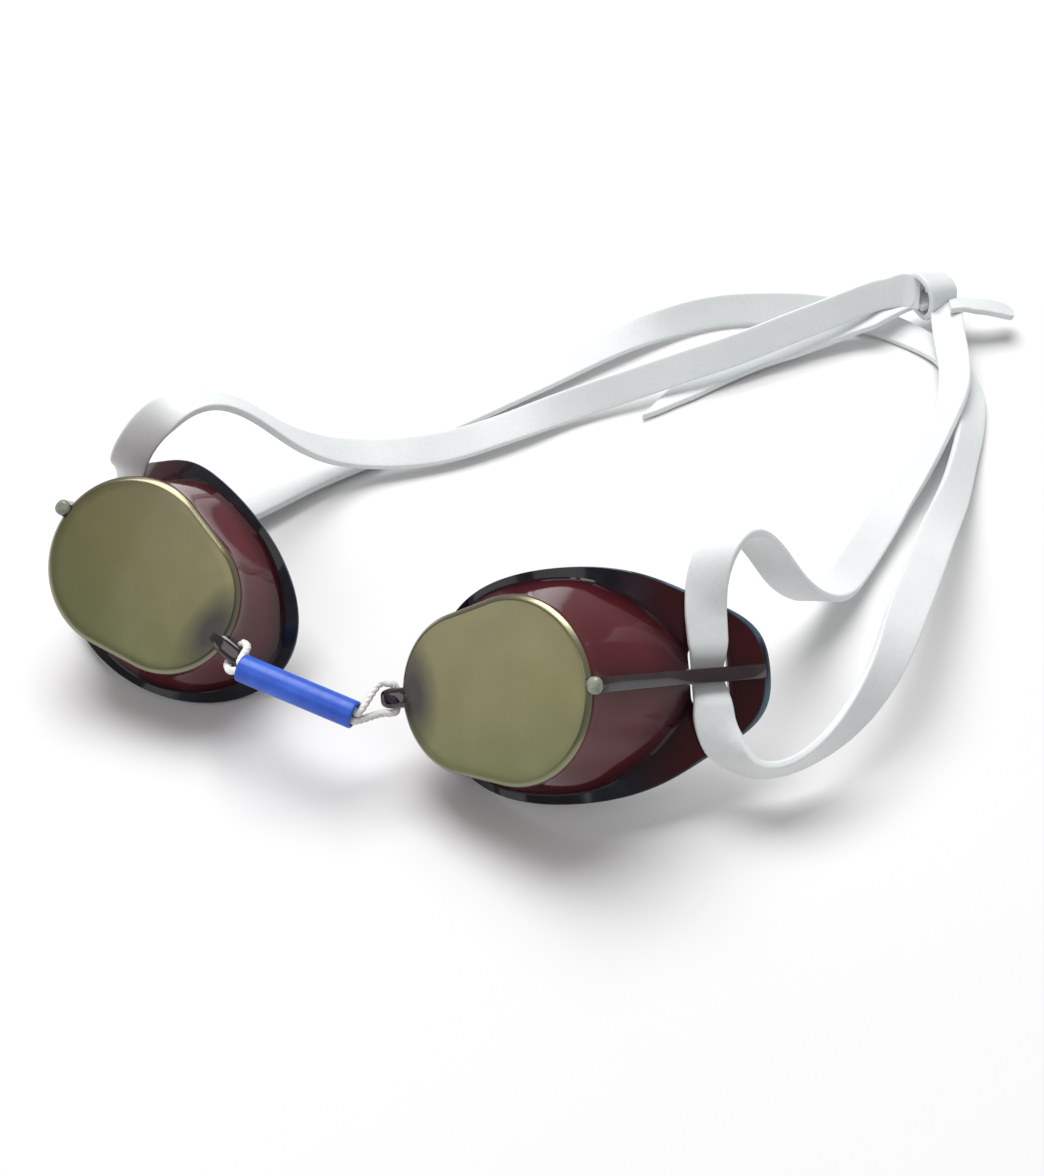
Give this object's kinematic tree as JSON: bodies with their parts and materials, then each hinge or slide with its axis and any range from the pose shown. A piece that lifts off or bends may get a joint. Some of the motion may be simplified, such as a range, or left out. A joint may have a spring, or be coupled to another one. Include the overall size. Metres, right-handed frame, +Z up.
{
  "type": "swim goggles",
  "caption": "Swim goggles with two hard oval eyecups on a string and tube nose bridge, and a long latex strap threaded behind a bar on each cup and knotted at the back.",
  "frame": {"origin": "bottom centre of the box round the goggles as they lie on a table, eyecups at the front (-Y) and strap knot at the back right", "axes": "+X towards the wearer's left, +Y from the eyecups back to the strap, +Z up from the table"},
  "size_m": [0.2132, 0.178, 0.0424],
  "materials": {
    "cup": "glossy translucent wine polycarbonate with a mirrored lens front",
    "tube": "satin blue tubing",
    "string": "white twisted cord",
    "strap": "satin pale grey latex"
  },
  "bodies": {
    "bridge_and_strap": {"nose_string": "string", "strap_upper_left_rear": "strap", "strap_upper_left_run": "strap", "strap_lower_left_run": "strap", "strap_lower_rear": "strap", "strap_lower_right_run": "strap", "strap_upper_right_run": "strap", "strap_upper_right_rear": "strap", "strap_tail_long": "strap", "strap_tail_short": "strap", "strap_knot": "strap"},
    "left_cup": {"left_eyecup": "cup", "strap_turn_left_eyecup": "strap"},
    "right_cup": {"right_eyecup": "cup", "strap_turn_right_eyecup": "strap"},
    "nose_tube": {"nose_tube": "tube"}
  },
  "joints": [
    {"name": "left_cup_hinge", "type": "hinge", "parent": "bridge_and_strap", "child": "left_cup", "pos_m": [-0.03501, -0.06578, 0.01577], "axis": [-0.0741, 0.674, 0.735], "range_deg": [-30, 45], "deforming": ["nose_string", "strap_upper_left_run", "strap_lower_left_run"]},
    {"name": "right_cup_hinge", "type": "hinge", "parent": "bridge_and_strap", "child": "right_cup", "pos_m": [-0.06416, -0.05598, 0.01748], "axis": [0.6143, 0.4549, 0.6447], "range_deg": [-40, 35], "deforming": ["nose_string", "strap_upper_right_run", "strap_lower_right_run"]},
    {"name": "nose_tube_spin", "type": "hinge", "parent": "bridge_and_strap", "child": "nose_tube", "pos_m": [-0.05201, -0.06605, 0.01766], "axis": [0.9112, -0.3848, -0.1474], "continuous": true}
  ]
}
